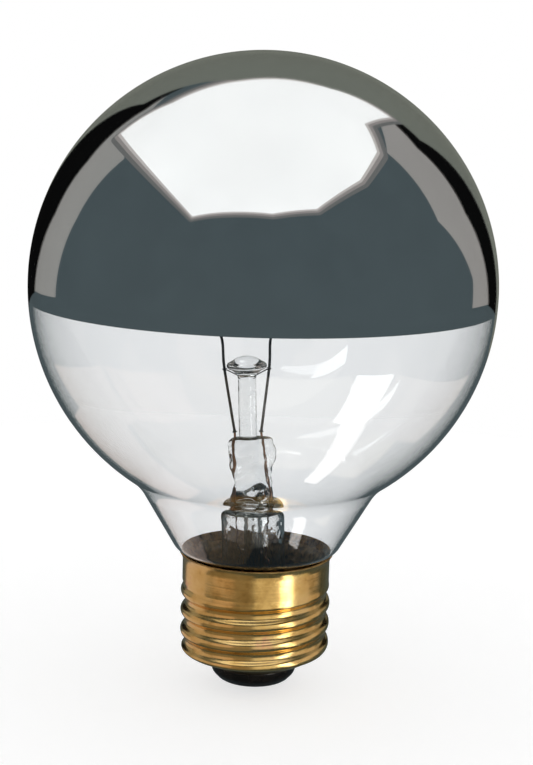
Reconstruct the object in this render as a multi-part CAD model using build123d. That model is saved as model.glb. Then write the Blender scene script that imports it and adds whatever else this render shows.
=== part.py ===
from build123d import *
import os
from math import ceil, cos, hypot, pi, radians, sin, sqrt, tan

# Silver crown globe lamp with a 26 mm screw cap. Millimetres. The origin is the lowest point
# of the centre contact and +Z runs up the lamp's axis. The photograph's view looks along +Y.

# Screw cap
PITCH = 3.629
CREST_R = 13.15
THREAD_DEPTH = 0.85
COLLAR_STEP = 0.25      # from the crest in to the collar
RIM_FLARE = 0.55        # from the collar out to the rim
SHEET = 0.28
LIP_R = 7.2
LIP_Z = 4.4
SHOULDER_H = 2.8
SHOULDER_BULGE = 1.3    # power of its curve: 1 is a cone, 2 a quarter of an ellipse
SHOULDER_STEPS = 6
THREAD_LOW = 5.2
THREAD_TOP = 19.4
THREAD_FADE = 1.7
RIM_Z = 24.4
FLARE_H = 1.5
THREAD_START = 0.98     # height of a crest at the angle zero, less whole turns
LOFT_STEPS = 12         # sections in each half turn of the thread
WAVE_STEPS = 12         # points in each pitch of a section
COLLAR_STEPS = 3
FLARE_STEPS = 4

# Glass envelope and mirror
GLOBE_R = 39.7
WALL = 0.6
GLOBE_FILLET = 10.0
NECK_LEAN = 30.0
NECK_CONE = 11.0
NECK_OVERHANG = 0.95    # from the rim out to the cone's foot
NECK_CORNER_UP = 1.2
NECK_BEND = 1.0
NECK_PLAY = 0.8         # from the thread's inside to the neck
NECK_RIM_PLAY = 0.3     # from the collar's inside to the neck
NECK_ENTRY_DOWN = 0.2
NECK_NARROW = 2.0
SEAL_Z = 13.5
MIRROR_DROP = 2.3       # from the globe's centre down to the mirror's edge
MIRROR_FILM = 0.1

# Stem, which leans towards -X about a point on the axis
STEM_LEAN = 2.4
STEM_FOOT_Z = 12.0
TUBE_R = 5.5
TUBE_WALL = 0.9
TUBE_TOP = 33.4
TUBE_ROUND = 1.2
TRUMPET_H = 6.5
FLARE_SLOPE = 0.35      # of the trumpet at its rim
SEAL_EDGE = 0.9
SEAL_PLAY = 0.1         # from the neck's inside to the trumpet
PRESS_W = 8.2
PRESS_T = 4.6
PRESS_H = 11.4
PRESS_WIDE_UP = 8.0     # from the tube's top to the press's widest place
PRESS_FOOT_SHARE = 0.9  # width of the press at its foot, as a share of PRESS_W
PRESS_WAIST_SHARE = 0.8
PRESS_WAIST_UP = 3.8
PRESS_ROUND = 1.5
EXHAUST_R = 1.65
EXHAUST_WALL = 0.6
EXHAUST_TIP = 9.0
PORT_R = 0.7
PORT_BEAD_R = 1.6
PORT_X = 1.3
PORT_UP = 1.6
ARBOR_R = 1.55
ARBOR_X = -0.6          # beside the stem's own axis
ARBOR_SOCKET = 1.6
BUTTON_R = 3.45
BUTTON_OVER_PRESS = 12.6
BUTTON_UP = 1.7
BUTTON_DOWN = 1.6
BUTTON_EDGE = 0.55

# Wires
LEAD_R = 0.24
SEAL_WIRE_R = 0.2
OUTER_R = 0.2
KNOT_R = 0.42
TIE_R = 0.11
SEAL_WIRE_UP = 0.9
SEAL_WIRE_DOWN = 1.3    # from the tube's bore top to the wire's lower end
LEAD_AT_PRESS = 2.3
LEAD_AT_BUTTON = 3.9
LEAD_AT_BEND = 4.3
LEAD_BEND_UP = 5.1      # over the button
LEAD_AT_TOP = 11.0
LEAD_TOP_UP = 13.1
FILAMENT_R = 0.42
FILAMENT_RISE = 2.0
FILAMENT_DOWN = 0.7
TIE_FOOT_DOWN = 2.1
TIE_TOP_DOWN = 0.7
SIDE_WIRE_GAP = 0.4     # from the thread's inside to the middle of the side wire
SEAL_WIRE_OUT = 2.9
BEND_SHARE = 0.45       # of the shorter run beside a bend that its arc takes
LEAD_UNDER_SEAL = 1.6
LEAD_UNDER_NECK = 3.2   # from the side wire in to where the lead passes under the seal
LEAD_INTO_FLARE = 3.5
LEAD_OVER_RIM = 0.2
SIDE_LEAD_ANGLES = (155, 123)           # where the outer leads bend, round the pumping tube
CENTRE_LEAD_ANGLES = (50, 35, 50)

# Insulator, contact, solder and cement
FOOT_R = 6.4
FOOT_Z = 1.6
INSULATOR_BULGE = 0.5
INSULATOR_HOLE_R = 1.6
LIP_WRAP = 0.25
CONTACT_R = 3.8
CONTACT_T = 0.35
CONTACT_Z = 0.55
EYELET_WALL = 0.35
EYELET_UP = 1.4
SOLDER_R = 2.6
SOLDER_FLAT_R = 0.8
SOLDER_RISE = 0.6
SOLDER_FILL = 1.1
SOLDER_BULGE = 0.1
CEMENT_DOWN = 0.5
CEMENT_H = 3.6
SIDE_SOLDER_R = 1.1

# Worked out from the sizes above
ROOT_R = CREST_R - THREAD_DEPTH
COLLAR_R = CREST_R - COLLAR_STEP
RIM_R = COLLAR_R + RIM_FLARE
NECK_R = ROOT_R - SHEET - NECK_PLAY
SHOULDER_Z = LIP_Z + SHOULDER_H
ALONG_NECK = Vector(sin(radians(NECK_LEAN)), 0, cos(radians(NECK_LEAN)))
OUT_OF_NECK = Vector(cos(radians(NECK_LEAN)), 0, -sin(radians(NECK_LEAN)))
NECK_CORNER = Vector(RIM_R + NECK_OVERHANG, 0, RIM_Z + NECK_CORNER_UP)
FILLET_CENTRE = NECK_CORNER + ALONG_NECK * NECK_CONE + OUT_OF_NECK * GLOBE_FILLET
GLOBE_Z = FILLET_CENTRE.Z + sqrt((GLOBE_R + GLOBE_FILLET) ** 2 - FILLET_CENTRE.X**2)
GLOBE_CENTRE = Vector(0, 0, GLOBE_Z)
STEM = Location((0, 0, STEM_FOOT_Z), (0, -STEM_LEAN, 0)) * Location((0, 0, -STEM_FOOT_Z))
SIDE_WIRE_AT = ROOT_R - SHEET - SIDE_WIRE_GAP
NECK_ENTRY_Z = RIM_Z - NECK_ENTRY_DOWN
NECK_TOP_Z = NECK_ENTRY_Z - NECK_NARROW
TUBE_BORE_R = TUBE_R - TUBE_WALL
TUBE_BORE_TOP = TUBE_TOP - TUBE_WALL
TRUMPET_TOP = SEAL_Z + TRUMPET_H
PRESS_TOP = TUBE_TOP + PRESS_H
PRESS_WIDE_Z = TUBE_TOP + PRESS_WIDE_UP
PRESS_WAIST_Z = TUBE_TOP + PRESS_WAIST_UP
PORT_Z = TUBE_TOP + PORT_UP
BUTTON_Z = PRESS_TOP + BUTTON_OVER_PRESS
LEAD_BEND_Z = BUTTON_Z + LEAD_BEND_UP
LEAD_TOP_Z = BUTTON_Z + LEAD_TOP_UP
SEAL_WIRE_END = TUBE_BORE_TOP - SEAL_WIRE_DOWN
LEAD_RING_R = (EXHAUST_R + TUBE_BORE_R) / 2
BASE = (Align.CENTER, Align.CENTER, Align.MIN)
SIDES = {"left": -1, "right": 1}


def smooth_step(t):
    t = min(max(t, 0.0), 1.0)
    return t * t * (3 - 2 * t)


def thread_wave(z, turn):
    """Radius of the rolled thread: equal arcs at crest and root, tangent halfway."""
    quarter = PITCH / 4
    depth = (CREST_R - ROOT_R) / 2
    arc = (quarter**2 + depth**2) / (2 * depth)
    from_crest = (z - THREAD_START - PITCH * turn + PITCH / 2) % PITCH - PITCH / 2
    if abs(from_crest) <= quarter:
        return CREST_R - arc + sqrt(arc**2 - from_crest**2)
    from_root = PITCH / 2 - abs(from_crest)
    return ROOT_R + arc - sqrt(arc**2 - from_root**2)


def base_radius(z):
    """Outside radius of the cap with no thread on it: shoulder, straight wall, collar, flare."""
    if z < SHOULDER_Z:
        down = (SHOULDER_Z - z) / SHOULDER_H
        return LIP_R + (ROOT_R - LIP_R) * (1 - down**SHOULDER_BULGE) ** (1 / SHOULDER_BULGE)
    if z < (SHOULDER_Z + THREAD_TOP) / 2:
        return ROOT_R
    up_flare = max(z - RIM_Z + FLARE_H, 0.0) / FLARE_H
    return COLLAR_R + RIM_FLARE * up_flare**2


def shell_radius(z, turn):
    """Outside radius of the cap at one height and angle, with the thread faded in and out."""
    base = base_radius(z)
    wave = thread_wave(z, turn)
    if z < (SHOULDER_Z + THREAD_TOP) / 2:
        return base + smooth_step((z - THREAD_LOW) / THREAD_FADE) * (wave - ROOT_R)
    return base + smooth_step((THREAD_TOP - z) / THREAD_FADE) * (wave - base)


def shoulder_heights():
    return [LIP_Z + SHOULDER_H * i / SHOULDER_STEPS for i in range(SHOULDER_STEPS)]


def shell_line(turn):
    """Outside points of the cap's wall at one angle, from the lip up to the rim."""
    steps = ceil((THREAD_TOP - SHOULDER_Z) / PITCH * WAVE_STEPS)
    collar_h = RIM_Z - FLARE_H - THREAD_TOP
    heights = shoulder_heights()
    heights += [SHOULDER_Z + (THREAD_TOP - SHOULDER_Z) * i / steps for i in range(steps + 1)]
    heights += [THREAD_TOP + collar_h * i / COLLAR_STEPS for i in range(1, COLLAR_STEPS + 1)]
    heights += [RIM_Z - FLARE_H + FLARE_H * i / FLARE_STEPS for i in range(1, FLARE_STEPS + 1)]
    return [(shell_radius(z, turn), z) for z in heights]


def inset(points, depth):
    """The same line moved to its left by depth, square to itself."""
    moved = []
    for i, (r, z) in enumerate(points):
        before = points[max(i - 1, 0)]
        after = points[min(i + 1, len(points) - 1)]
        dr, dz = after[0] - before[0], after[1] - before[1]
        length = hypot(dr, dz)
        moved.append((r - depth * dz / length, z + depth * dr / length))
    return moved


def shell_section(turn):
    """The cap wall's closed section in the plane at one angle."""
    outer = shell_line(turn)
    inner = inset(outer, SHEET)
    angle = 2 * pi * turn
    knots = [i / (len(outer) - 1) for i in range(len(outer))]

    def curve(points):
        places = [Vector(r * cos(angle), r * sin(angle), z) for r, z in points]
        return Edge.make_spline(places, parameters=knots)

    outside = curve(outer)
    inside = curve(inner)
    rim = Edge.make_line(outside @ 1, inside @ 1)
    lip = Edge.make_line(inside @ 0, outside @ 0)
    return Wire([outside, rim, inside, lip])


def screw_shell():
    """Thin brass cap with a right-handed rolled thread, lofted round in two halves."""
    halves = []
    for start in (0.0, 0.5):
        turns = [start + i / (2 * LOFT_STEPS) for i in range(LOFT_STEPS + 1)]
        halves.append(Solid.make_loft([shell_section(turn) for turn in turns]))
    return halves[0] + halves[1]


def turned(*lines):
    """Solid of revolution of the closed outline that the lines make in the XZ plane."""
    return revolve(Face(Wire([edge for line in lines for edge in line.edges()])), Axis.Z)


def at(r, z):
    return Vector(r, 0, z)


def bulged(start, end, bulge):
    """Arc in the XZ plane that stands out by bulge to the left of its chord."""
    along = (end - start).normalized()
    middle = (start + end) / 2 + Vector(-along.Z, 0, along.X) * bulge
    return ThreePointArc(start, middle, end)


def neck_points():
    """Corners of the neck's outside, from the cone's top down to the sealed end."""
    cone_top = NECK_CORNER + ALONG_NECK * NECK_CONE
    return [
        (cone_top.X, cone_top.Z),
        (NECK_CORNER.X, NECK_CORNER.Z),
        (COLLAR_R - SHEET - NECK_RIM_PLAY, NECK_ENTRY_Z),
        (NECK_R, NECK_TOP_Z),
        (NECK_R, SEAL_Z),
    ]


def glass_line(depth):
    """One face of the blown wall, from the crown's pole to the end of the neck."""
    radius = GLOBE_R - depth
    join = GLOBE_CENTRE + (FILLET_CENTRE - GLOBE_CENTRE).normalized() * radius
    neck = [at(r, z) for r, z in inset(neck_points(), -depth)]
    halfway = (join - FILLET_CENTRE).normalized() + (neck[0] - FILLET_CENTRE).normalized()
    middle = FILLET_CENTRE + halfway.normalized() * (GLOBE_FILLET + depth)
    globe = ThreePointArc(at(0, GLOBE_Z + radius), at(radius, GLOBE_Z), join)
    hollow = ThreePointArc(join, middle, neck[0])
    return [globe, hollow, FilletPolyline(*neck, radius=NECK_BEND)]


def glass_globe():
    """Clear blown envelope: globe, hollow curve, cone and the neck inside the cap."""
    outer = glass_line(0)
    inner = glass_line(WALL)
    pole = Line(outer[0] @ 0, inner[0] @ 0)
    end = Line(outer[-1] @ 1, inner[-1] @ 1)
    return turned(*outer, end, *inner, pole)


def filled_globe():
    """The envelope's outside as a full solid, to cut what is fitted round it."""
    outer = glass_line(0)
    end = Line(outer[-1] @ 1, at(0, SEAL_Z))
    axis = Line(at(0, SEAL_Z), outer[0] @ 0)
    return turned(*outer, end, axis)


def silver_crown():
    """Mirror film on the inside of the globe, above a level edge."""
    def face_of_film(radius):
        edge = at(sqrt(radius**2 - MIRROR_DROP**2), GLOBE_Z - MIRROR_DROP)
        return ThreePointArc(at(0, GLOBE_Z + radius), at(radius, GLOBE_Z), edge)

    outside = face_of_film(GLOBE_R - WALL)
    inside = face_of_film(GLOBE_R - WALL - MIRROR_FILM)
    return turned(outside, Line(outside @ 1, inside @ 1), inside, Line(inside @ 0, outside @ 0))


def disc(radius, z):
    return Plane.XY.offset(z) * Circle(radius)


def press_section(share, z):
    """Level section of the press, share of its full size."""
    return Plane.XY.offset(z) * RectangleRounded(PRESS_W * share, PRESS_T * share, PRESS_ROUND * share)


def trumpet(outer_r, rim_r, low_z):
    """The stem's foot, flaring from the tube to the rim that is sealed to the neck."""
    top = at(outer_r, TRUMPET_TOP)
    rim = at(rim_r, low_z)
    side = Spline(top, rim, tangents=[(0, 0, -1), (1, 0, -FLARE_SLOPE)])
    return turned(
        side,
        Line(rim, at(0, low_z)),
        Line(at(0, low_z), at(0, TRUMPET_TOP)),
        Line(at(0, TRUMPET_TOP), top),
    )


def stem_tube(radius, top_z):
    """Tube from the upright trumpet up to the leaning press."""
    return loft([disc(radius, TRUMPET_TOP), STEM * disc(radius, top_z)])


def press():
    """Glass pinched flat round the wires: a foot, a waist and a wide rounded head."""
    sections = [
        press_section(PRESS_FOOT_SHARE, TUBE_TOP - TUBE_WALL / 2),
        press_section(PRESS_WAIST_SHARE, PRESS_WAIST_Z),
        press_section(1, PRESS_WIDE_Z),
        press_section(PRESS_FOOT_SHARE, PRESS_TOP),
    ]
    head = loft(sections)
    return fillet(head.edges().group_by(Axis.Z)[-1], PRESS_ROUND / 2)


def port():
    """Channel from the pumping tube's top to the front of the press's foot."""
    low = Vector(0, 0, TUBE_BORE_TOP - PORT_R)
    mouth = Vector(PORT_X, -PRESS_T / 2, PORT_Z)
    return wire([low, mouth * 2 - low], PORT_R)


def stem_glass():
    """Flared tube and flattened press in one piece, with the pumping port in its front."""
    rim_z = SEAL_Z - SEAL_EDGE
    body = trumpet(TUBE_R, NECK_R - WALL - SEAL_PLAY, SEAL_Z)
    body += Pos(0, 0, rim_z) * Cylinder(NECK_R, SEAL_EDGE, align=BASE)
    tube = stem_tube(TUBE_R, TUBE_TOP)
    body += fillet(tube.edges().group_by(Axis.Z)[-1], TUBE_ROUND)
    body += STEM * press()
    body += STEM * Pos(PORT_X, -PRESS_T / 2, PORT_Z) * Sphere(PORT_BEAD_R)
    body -= trumpet(TUBE_BORE_R, NECK_R - WALL - TUBE_WALL, rim_z)
    body -= stem_tube(TUBE_BORE_R, TUBE_BORE_TOP)
    body -= STEM * port()
    return body


def exhaust_tube():
    """Pumping tube under the press, melted shut at its lower end."""
    length = TUBE_BORE_TOP - EXHAUST_TIP
    tip_z = EXHAUST_TIP + EXHAUST_R
    bore_r = EXHAUST_R - EXHAUST_WALL
    outside = Pos(0, 0, tip_z) * (Cylinder(EXHAUST_R, length - EXHAUST_R, align=BASE) + Sphere(EXHAUST_R))
    bore_top = Cylinder(bore_r, length - EXHAUST_R, align=BASE)
    return STEM * (outside - Pos(0, 0, tip_z) * (bore_top + Sphere(bore_r)))


def arbor():
    """Glass rod that stands in the press, with its end pressed into a round button."""
    foot = PRESS_TOP - ARBOR_SOCKET
    neck_z = BUTTON_Z - BUTTON_DOWN
    edge_r = BUTTON_R - BUTTON_EDGE
    top = at(0, BUTTON_Z + BUTTON_UP)
    edge_low = at(edge_r, BUTTON_Z - BUTTON_EDGE)
    edge_high = at(edge_r, BUTTON_Z + BUTTON_EDGE)
    rod = Polyline(top, at(0, foot), at(ARBOR_R, foot), at(ARBOR_R, neck_z), edge_low)
    edge = ThreePointArc(edge_low, at(BUTTON_R, BUTTON_Z), edge_high)
    dome = TangentArc(top, edge_high, tangent=(1, 0, 0))
    return STEM * Pos(ARBOR_X, 0, 0) * turned(rod, edge, dome)


def bend_radii(points):
    """Radius of the arc at each corner of a route: as large as the shorter run allows."""
    radii = []
    for before, corner, after in zip(points, points[1:], points[2:]):
        run_in = Vector(corner) - Vector(before)
        run_out = Vector(after) - Vector(corner)
        half_turn = radians(run_in.get_angle(run_out)) / 2
        radii.append(BEND_SHARE * min(run_in.length, run_out.length) / tan(half_turn))
    return radii


def wire(points, radius):
    """Round wire along straight runs that are joined by tangent arcs."""
    if len(points) > 2:
        path = FilletPolyline(*points, radius=bend_radii(points))
    else:
        path = Polyline(*points)
    start = Plane(origin=path @ 0, z_dir=path % 0)
    return sweep(start * Circle(radius), path=path)


def seal_wire(side):
    """Wire sealed into the press, from under the arbor's foot to the tube below."""
    top = (ARBOR_X + side * LEAD_AT_PRESS, 0, PRESS_TOP + SEAL_WIRE_UP)
    low = (side * SEAL_WIRE_OUT, 0, SEAL_WIRE_END)
    return STEM * wire([top, low], SEAL_WIRE_R)


def inner_lead(side):
    """Stiff lead from the weld over the press, past the button, to the filament."""
    points = [
        (ARBOR_X + side * LEAD_AT_PRESS, 0, PRESS_TOP + SEAL_WIRE_UP),
        (ARBOR_X + side * LEAD_AT_BUTTON, 0, BUTTON_Z),
        (ARBOR_X + side * LEAD_AT_BEND, 0, LEAD_BEND_Z),
        (ARBOR_X + side * LEAD_AT_TOP, 0, LEAD_TOP_Z),
    ]
    lead = wire(points, LEAD_R)
    return STEM * (lead + Pos(*points[0]) * Sphere(KNOT_R))


def filament():
    """The coiled wire's outer shape, hung in a shallow bow between the leads' ends."""
    z = LEAD_TOP_Z - FILAMENT_DOWN
    share = (z - LEAD_BEND_Z) / (LEAD_TOP_Z - LEAD_BEND_Z)
    reach = LEAD_AT_BEND + (LEAD_AT_TOP - LEAD_AT_BEND) * share
    ends = [(ARBOR_X + side * reach, 0, z) for side in (-1, 1)]
    bow = ThreePointArc(ends[0], (ARBOR_X, 0, z + FILAMENT_RISE), ends[1])
    start = Plane(origin=bow @ 0, z_dir=bow % 0)
    return STEM * sweep(start * Circle(FILAMENT_R), path=bow)


def tie_wire(side):
    """Fine wire held in the button's underside, with its ring round the lead."""
    foot = (ARBOR_X + side * ARBOR_R / 2, 0, BUTTON_Z - TIE_FOOT_DOWN)
    top_z = BUTTON_Z - TIE_TOP_DOWN
    press_z = PRESS_TOP + SEAL_WIRE_UP
    share = (top_z - press_z) / (BUTTON_Z - press_z)
    lead_x = ARBOR_X + side * (LEAD_AT_PRESS + (LEAD_AT_BUTTON - LEAD_AT_PRESS) * share)
    near = (lead_x - side * LEAD_R, 0, top_z)
    ring = Pos(lead_x, 0, top_z) * Torus(LEAD_R + TIE_R / 2, TIE_R)
    return STEM * (wire([foot, near], TIE_R) + ring)


def ring_point(angle, z):
    """Place between the pumping tube and the stem tube's bore."""
    return Vector(LEAD_RING_R * cos(radians(angle)), LEAD_RING_R * sin(radians(angle)), z)


def on_stem(point):
    return (STEM * Pos(*point)).position


def side_lead():
    """Outer lead to the cap's rim: down the tube, under the seal and up beside the neck."""
    under = SEAL_Z - SEAL_EDGE - LEAD_UNDER_SEAL
    high, low = SIDE_LEAD_ANGLES
    points = [
        on_stem((-SEAL_WIRE_OUT, 0, SEAL_WIRE_END)),
        on_stem(ring_point(high, (SEAL_WIRE_END + TRUMPET_TOP) / 2)),
        ring_point(low, SEAL_Z + LEAD_INTO_FLARE),
        (0, SIDE_WIRE_AT - LEAD_UNDER_NECK, under),
        (0, SIDE_WIRE_AT, under),
        (0, SIDE_WIRE_AT, (THREAD_TOP + NECK_TOP_Z) / 2),
        (0, (COLLAR_R + RIM_R) / 2 - SHEET, RIM_Z + LEAD_OVER_RIM),
    ]
    return wire(points, OUTER_R) + Pos(*points[0]) * Sphere(KNOT_R)


def centre_lead():
    """Outer lead to the centre contact, behind the pumping tube and past its tip."""
    high, middle, low = CENTRE_LEAD_ANGLES
    points = [
        on_stem((SEAL_WIRE_OUT, 0, SEAL_WIRE_END)),
        on_stem(ring_point(high, (SEAL_WIRE_END + TRUMPET_TOP) / 2)),
        ring_point(middle, TRUMPET_TOP),
        ring_point(low, EXHAUST_TIP + EXHAUST_R),
        (0, 0, SHOULDER_Z),
        (0, 0, SOLDER_RISE),
    ]
    return wire(points, OUTER_R) + Pos(*points[0]) * Sphere(KNOT_R)


def base_insulator():
    """Black glass moulded into the cap's shoulder and round its lip."""
    shoulder = [(base_radius(z), z) for z in shoulder_heights()]
    wall = [at(r, z) for r, z in inset(shoulder, SHEET / 2)][1:]
    lip = at(LIP_R + LIP_WRAP, LIP_Z + SHEET / 2)
    low_lip = at(LIP_R + LIP_WRAP, LIP_Z - LIP_WRAP)
    foot = at(FOOT_R, FOOT_Z)
    seat_z = CONTACT_Z + CONTACT_T
    corners = Polyline(
        foot,
        at(CONTACT_R, seat_z),
        at(INSULATOR_HOLE_R, seat_z),
        at(INSULATOR_HOLE_R, SHOULDER_Z),
        at(wall[-1].X, SHOULDER_Z),
        wall[-1],
    )
    side = bulged(low_lip, foot, INSULATOR_BULGE)
    return turned(Spline(*wall), corners, side, Line(low_lip, lip), Line(lip, wall[0]))


def centre_contact():
    """Brass contact plate with an eyelet up through the insulator."""
    plate = Pos(0, 0, CONTACT_Z) * Cylinder(CONTACT_R, CONTACT_T, align=BASE)
    eyelet = Pos(0, 0, CONTACT_Z) * Cylinder(INSULATOR_HOLE_R, CONTACT_T + EYELET_UP, align=BASE)
    hole = Pos(0, 0, CONTACT_Z) * Cylinder(INSULATOR_HOLE_R - EYELET_WALL, CONTACT_T + EYELET_UP, align=BASE)
    return plate + eyelet - hole


def centre_solder():
    """Solder that fills the eyelet and ends in a dome with a small flat."""
    hole_r = INSULATOR_HOLE_R - EYELET_WALL
    flat = at(SOLDER_FLAT_R, 0)
    edge = at(SOLDER_R, CONTACT_Z)
    top_z = CONTACT_Z + SOLDER_FILL
    corners = Polyline(edge, at(hole_r, CONTACT_Z), at(hole_r, top_z), at(0, top_z), at(0, 0), flat)
    return turned(bulged(edge, flat, SOLDER_BULGE), corners)


def cement_ring():
    """Basing cement between the cap's collar and the neck."""
    top = RIM_Z - CEMENT_DOWN
    return Pos(0, 0, top - CEMENT_H) * Cylinder(COLLAR_R - SHEET / 2, CEMENT_H, align=BASE)


def side_solder():
    """Solder bead over the rim, where the side lead ends."""
    return Pos(0, RIM_R - SHEET / 2, RIM_Z) * Sphere(SIDE_SOLDER_R)


def lamp():
    """Every piece by name, each cut to the faces of what it is fitted to."""
    shell = screw_shell()
    solid_globe = filled_globe()
    pieces = {"screw_shell": shell, "glass_globe": glass_globe(), "silver_crown": silver_crown()}
    seals = {side: seal_wire(sign) for side, sign in SIDES.items()}
    ties = {side: tie_wire(sign) for side, sign in SIDES.items()}
    leads = {side: inner_lead(sign) - seals[side] for side, sign in SIDES.items()}
    rod = arbor()
    pieces["stem_glass"] = stem_glass() - rod - list(seals.values())
    pieces["exhaust_tube"] = exhaust_tube()
    pieces["arbor_rod"] = rod - list(ties.values())
    pieces["filament"] = filament() - list(leads.values())
    for side in SIDES:
        pieces[f"seal_wire_{side}"] = seals[side]
        pieces[f"inner_lead_{side}"] = leads[side]
        pieces[f"tie_wire_{side}"] = ties[side] - leads[side]
    to_rim = side_lead() - seals["left"]
    to_contact = centre_lead() - seals["right"]
    pieces["outer_lead_side"] = to_rim
    pieces["outer_lead_centre"] = to_contact
    pieces["base_insulator"] = base_insulator() - shell
    pieces["centre_contact"] = centre_contact()
    pieces["centre_solder"] = centre_solder() - to_contact
    cement = cement_ring() - solid_globe - shell - to_rim
    pieces["basing_cement"] = cement
    pieces["side_solder"] = side_solder() - solid_globe - shell - to_rim - cement
    return pieces


if __name__ == "__main__":
    os.makedirs("parts", exist_ok=True)
    for name, shape in lamp().items():
        shape.label = name
        export_step(shape, f"parts/{name}.step")
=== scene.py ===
import math

import bpy
import numpy as np
from mathutils import Matrix


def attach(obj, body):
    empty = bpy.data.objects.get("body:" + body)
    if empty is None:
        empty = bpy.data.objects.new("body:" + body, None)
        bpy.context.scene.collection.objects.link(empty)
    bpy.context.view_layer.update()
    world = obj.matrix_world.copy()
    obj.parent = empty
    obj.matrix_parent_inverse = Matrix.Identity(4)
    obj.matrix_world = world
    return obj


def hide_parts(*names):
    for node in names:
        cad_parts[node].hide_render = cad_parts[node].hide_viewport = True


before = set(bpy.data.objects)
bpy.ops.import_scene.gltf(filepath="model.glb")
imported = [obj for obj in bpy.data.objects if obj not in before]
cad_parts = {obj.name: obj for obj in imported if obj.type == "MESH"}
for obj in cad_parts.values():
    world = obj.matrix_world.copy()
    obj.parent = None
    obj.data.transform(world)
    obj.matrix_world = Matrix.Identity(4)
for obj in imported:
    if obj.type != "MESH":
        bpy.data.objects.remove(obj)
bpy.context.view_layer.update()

MM = 0.001
TAU = 2 * math.pi
LIGHT = 0.7              # strength of the world as a light
FLOOR_R = 220.0

# Sizes of the lamp in millimetres, as the solids have them
PITCH = 3.629
CREST_R = 13.15
ROOT_R = CREST_R - 0.85
COLLAR_R = CREST_R - 0.25
RIM_FLARE = 0.55
RIM_R = COLLAR_R + RIM_FLARE
SHEET = 0.28
LIP_R = 7.2
LIP_Z = 4.4
SHOULDER_H = 2.8
SHOULDER_BULGE = 1.3
SHOULDER_Z = LIP_Z + SHOULDER_H
THREAD_LOW = 5.2
THREAD_TOP = 19.4
THREAD_FADE = 1.7
RIM_Z = 24.4
FLARE_H = 1.5
THREAD_START = 0.98
GLOBE_R = 39.7
WALL = 0.6
GLOBE_FILLET = 10.0
NECK_LEAN = math.radians(30.0)
NECK_CONE = 11.0
NECK_CORNER = np.array([RIM_R + 0.95, RIM_Z + 1.2])
NECK_ENTRY = np.array([COLLAR_R - SHEET - 0.3, RIM_Z - 0.2])
NECK_R = ROOT_R - SHEET - 0.8
NECK_TOP = np.array([NECK_R, NECK_ENTRY[1] - 2.0])
SEAL_Z = 13.5
ALONG_NECK = np.array([math.sin(NECK_LEAN), math.cos(NECK_LEAN)])
OUT_OF_NECK = np.array([math.cos(NECK_LEAN), -math.sin(NECK_LEAN)])
CONE_TOP = NECK_CORNER + ALONG_NECK * NECK_CONE
FILLET_AT = CONE_TOP + OUT_OF_NECK * GLOBE_FILLET
GLOBE_Z = FILLET_AT[1] + math.sqrt((GLOBE_R + GLOBE_FILLET) ** 2 - FILLET_AT[0] ** 2)
GLOBE_AT = np.array([0.0, GLOBE_Z])
MIRROR_EDGE_Z = GLOBE_Z - 2.3
MIRROR_FILM = 0.08
GLOBE_COLUMNS = 144
FILM_PLAY = 0.02
STEM_LEAN = math.radians(2.4)
STEM_FOOT_Z = 12.0
TUBE_R = 5.5
TUBE_BORE_R = TUBE_R - 0.9
TUBE_TOP = 33.4
TUBE_BORE_TOP = TUBE_TOP - 0.9
TRUMPET_TOP = SEAL_Z + 6.5
PRESS_TOP = TUBE_TOP + 11.4
PORT_X = 1.3
PORT_Z = TUBE_TOP + 1.6
EXHAUST_R = 1.65
EXHAUST_WALL = 0.6
EXHAUST_TIP = 9.0
ARBOR_R = 1.55
ARBOR_X = -0.6
BUTTON_Z = PRESS_TOP + 12.6
BUTTON_R = 3.45
BUTTON_EDGE = 0.55
LEAD_R = 0.24
OUTER_LEAD_R = 0.2
KNOT_R = 0.42
TIE_R = 0.1
LEAD_FOOT_Z = PRESS_TOP + 0.9
LEAD_AT_PRESS = 2.3
SEAL_WIRE_OUT = 2.9
SEAL_WIRE_END = TUBE_BORE_TOP - 1.3
LEAD_RING_R = (EXHAUST_R + TUBE_BORE_R) / 2
SIDE_WIRE_AT = ROOT_R - SHEET - 0.4
INSULATOR_HOLE_R = 1.6
CONTACT_R = 3.8
CONTACT_Z = 0.55
CONTACT_TOP = CONTACT_Z + 0.35
FOOT_R = 6.4
FOOT_Z = 1.6


# Camera, fitted to the photograph

def place_camera():
    """Camera at the photograph's distance, height and slight roll, aimed beside the stem."""
    distance, rise, roll = 271.9 * MM, math.radians(10.77), math.radians(1.57)
    focal_px, image_height_px, sensor_mm = 1579.5, 765, 36.0
    aim = np.array([0.97, 0.0, 54.47]) * MM
    back = np.array([0.0, -math.cos(rise), math.sin(rise)])
    level = np.array([1.0, 0.0, 0.0])
    up = np.cross(back, level)
    right = math.cos(roll) * level + math.sin(roll) * up
    top = math.cos(roll) * up - math.sin(roll) * level
    data = bpy.data.cameras.new("camera")
    data.sensor_fit = "VERTICAL"
    data.sensor_height = sensor_mm
    data.lens = focal_px / image_height_px * sensor_mm
    data.clip_start = 0.01
    camera = bpy.data.objects.new("camera", data)
    columns = np.stack([right, top, back, aim + back * distance], axis=1)
    camera.matrix_world = Matrix(np.vstack([columns, [0, 0, 0, 1]]).tolist())
    bpy.context.scene.collection.objects.link(camera)
    bpy.context.scene.camera = camera


# Surfaces

def outward(points, faces):
    """The same faces, turned round where the volume that they close comes out negative."""
    total = 0.0
    for corner in range(1, faces.shape[1] - 1):
        a, b, c = points[faces[:, 0]], points[faces[:, corner]], points[faces[:, corner + 1]]
        total += np.einsum("ij,ij->i", a, np.cross(b, c)).sum()
    return faces if total > 0 else faces[:, ::-1]


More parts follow.
